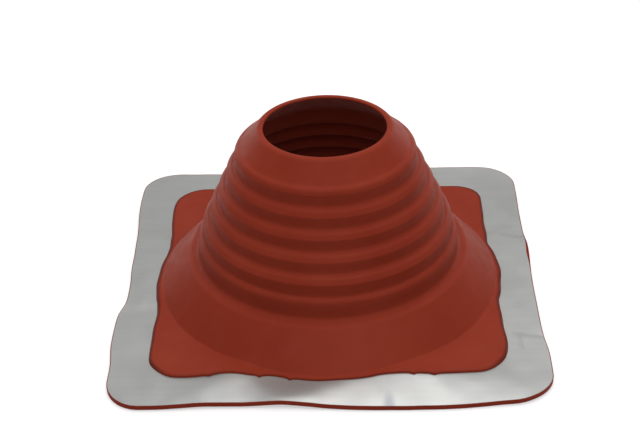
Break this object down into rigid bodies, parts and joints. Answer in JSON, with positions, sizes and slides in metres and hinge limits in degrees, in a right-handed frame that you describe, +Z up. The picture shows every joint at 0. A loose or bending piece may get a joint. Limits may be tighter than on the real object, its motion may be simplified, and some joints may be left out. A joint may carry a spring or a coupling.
{
  "type": "pipe flashing",
  "caption": "Square roof pipe flashing: a stepped silicone rubber cone with an open rim on a soft aluminium flange, made to seal a vent pipe where it passes through a roof.",
  "frame": {"origin": "middle of the square base, on the underside that lies on the roof", "axes": "+Z up along the cone's axis, +X and +Y square to the base's sides, -Y towards the viewer of the picture"},
  "size_m": [0.254, 0.254, 0.109],
  "materials": {
    "red_silicone_rubber": "matt moulded silicone",
    "mill_aluminium": "soft mill-finish sheet"
  },
  "bodies": {
    "root": {"rubber_boot": "red_silicone_rubber", "aluminium_flange": "mill_aluminium"}
  },
  "joints": []
}
